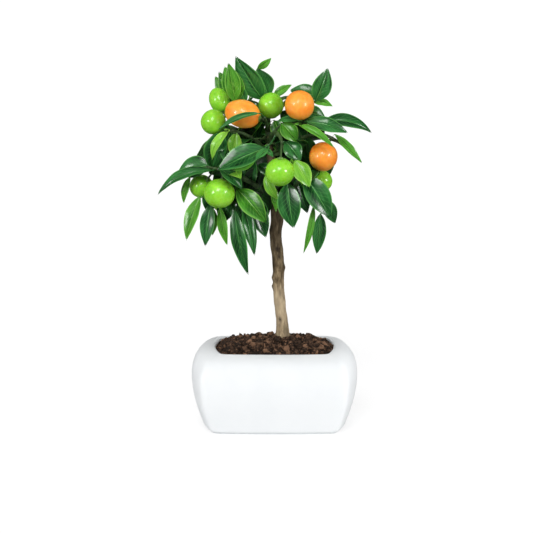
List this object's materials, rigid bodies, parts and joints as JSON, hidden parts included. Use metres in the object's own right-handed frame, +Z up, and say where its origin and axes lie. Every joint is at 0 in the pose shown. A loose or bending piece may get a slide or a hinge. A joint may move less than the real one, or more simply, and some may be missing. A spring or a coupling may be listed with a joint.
{
  "type": "potted kumquat tree",
  "caption": "Small kumquat tree with a slim trunk, a rounded crown of glossy leaves and round green and orange fruit, in a cushion-shaped white ceramic pot.",
  "frame": {"origin": "centre of the pot's flat base, on the surface it stands on", "axes": "+Z up the trunk, -Y towards the front of the tree, +X along the pot's long side to a viewer's right"},
  "size_m": [0.2151, 0.1671, 0.3776],
  "materials": {
    "pot": "gloss",
    "soil": "matte",
    "bark": "matte",
    "twig": "satin",
    "fruit_green": "gloss",
    "fruit_orange": "gloss",
    "leaf": "gloss",
    "young_leaf": "satin"
  },
  "bodies": {
    "root": {"pot": "pot", "soil": "soil", "trunk": "bark", "leader": "bark", "branch_left": "twig", "branch_left_low": "twig", "branch_left_middle": "twig", "branch_upper_left": "twig", "branch_front_left": "twig", "branch_front": "twig", "branch_front_low": "twig", "branch_right_high": "twig", "branch_upper_right": "twig", "branch_right_middle": "twig", "branch_right": "twig", "branch_right_low": "twig", "branch_back_left": "twig", "branch_back_right": "twig", "branch_back_top": "twig", "branch_back_low": "twig", "fruit_upper_left_back": "fruit_green", "fruit_upper_left": "fruit_green", "fruit_orange_left": "fruit_orange", "fruit_upper_middle": "fruit_green", "fruit_orange_right": "fruit_orange", "fruit_orange_low_right": "fruit_orange", "fruit_right_behind": "fruit_green", "fruit_front": "fruit_green", "fruit_low_left": "fruit_green", "fruit_far_left": "fruit_green", "fruit_back_left": "fruit_orange", "fruit_back_right": "fruit_green", "fruit_back_top": "fruit_orange", "fruit_back_low": "fruit_green", "leaf_crown_left": "leaf", "leaf_crown_middle": "leaf", "leaf_crown_right": "leaf", "leaf_new_left": "young_leaf", "leaf_new_top": "young_leaf", "leaf_far_right": "leaf", "leaf_right": "leaf", "leaf_right_front": "young_leaf", "leaf_over_orange": "young_leaf", "leaf_left_hanging": "young_leaf", "leaf_left_broad": "leaf", "leaf_front_left": "leaf", "leaf_far_left": "leaf", "leaf_low_far_left": "young_leaf", "leaf_low_left": "leaf", "leaf_lowest": "leaf", "leaf_low_middle": "leaf", "leaf_middle": "leaf", "leaf_over_green": "leaf", "leaf_front_low": "leaf", "leaf_front_small": "young_leaf", "leaf_low_right": "leaf", "leaf_right_hanging": "leaf", "leaf_back_left": "leaf", "leaf_back_right": "leaf", "leaf_back_top": "leaf"}
  },
  "joints": []
}
